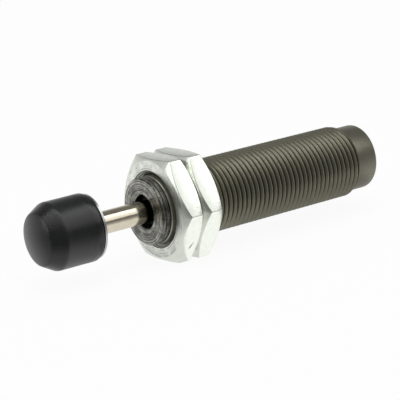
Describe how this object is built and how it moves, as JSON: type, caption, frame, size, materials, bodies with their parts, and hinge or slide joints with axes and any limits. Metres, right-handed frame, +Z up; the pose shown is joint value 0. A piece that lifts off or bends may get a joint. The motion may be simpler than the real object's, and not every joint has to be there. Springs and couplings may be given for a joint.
{
  "type": "industrial shock absorber",
  "caption": "Self-contained hydraulic shock absorber: threaded cylindrical body with hexagon mounting nuts, sprung piston rod and soft bumper cap.",
  "frame": {"origin": "on the stroke axis, in the plane of the rear nut's seat, where the panel it is fastened to lies", "axes": "+X along the stroke axis towards the tail, so the cap points to -X; +Z up, square to a flat of each nut; +Y completes the right-handed set"},
  "size_m": [0.1067, 0.0312, 0.027],
  "materials": {
    "coated_steel": "olive grey satin coating",
    "zinc_plate": "bright zinc plate",
    "hard_chrome": "ground and polished hard chrome",
    "black_oxide": "turned steel, black oxide",
    "black_urethane": "satin black polyurethane",
    "bright_steel": "turned steel",
    "bronze": "machined bronze",
    "copper": "soft copper",
    "spring_steel": "oiled spring wire",
    "black_rubber": "nitrile rubber",
    "foam_rubber": "closed-cell foam rubber"
  },
  "bodies": {
    "tube": {"outer_tube": "coated_steel", "stopper": "black_oxide", "scraper": "black_rubber", "lock_ring": "copper", "seal_holder": "bronze", "front_gasket": "black_rubber", "rod_seal": "black_rubber", "rod_bearing": "bronze", "bearing_gasket": "black_rubber", "accumulator": "foam_rubber", "inner_tube": "bright_steel", "return_spring": "spring_steel", "fill_ball": "bright_steel", "set_screw": "black_oxide"},
    "guide": {"spring_guide": "bright_steel"},
    "rod": {"piston_rod": "hard_chrome", "piston": "bronze", "cap_insert": "bright_steel", "bumper_cap": "black_urethane"},
    "valve": {"check_ball": "bright_steel"},
    "front_nut": {"front_nut": "zinc_plate"},
    "rear_nut": {"rear_nut": "zinc_plate"}
  },
  "joints": [
    {"name": "rod_stroke", "type": "slide", "parent": "tube", "child": "guide", "axis": [1, 0, 0], "range_m": [0, 0.015], "stiffness_N_per_m": 810, "springref_m": -0.0103, "deforming": ["return_spring"]},
    {"name": "rod_spin", "type": "hinge", "parent": "guide", "child": "rod", "pos_m": [0, 0, 0], "axis": [1, 0, 0], "continuous": true},
    {"name": "check_ball_lift", "type": "slide", "parent": "rod", "child": "valve", "axis": [1, 0, 0], "range_m": [0, 0.0005]},
    {"name": "front_nut_travel", "type": "slide", "parent": "tube", "child": "front_nut", "axis": [-1, 0, 0], "range_m": [0, 0.045]},
    {"name": "rear_nut_travel", "type": "slide", "parent": "tube", "child": "rear_nut", "axis": [1, 0, 0], "range_m": [0, 0.0495]}
  ]
}
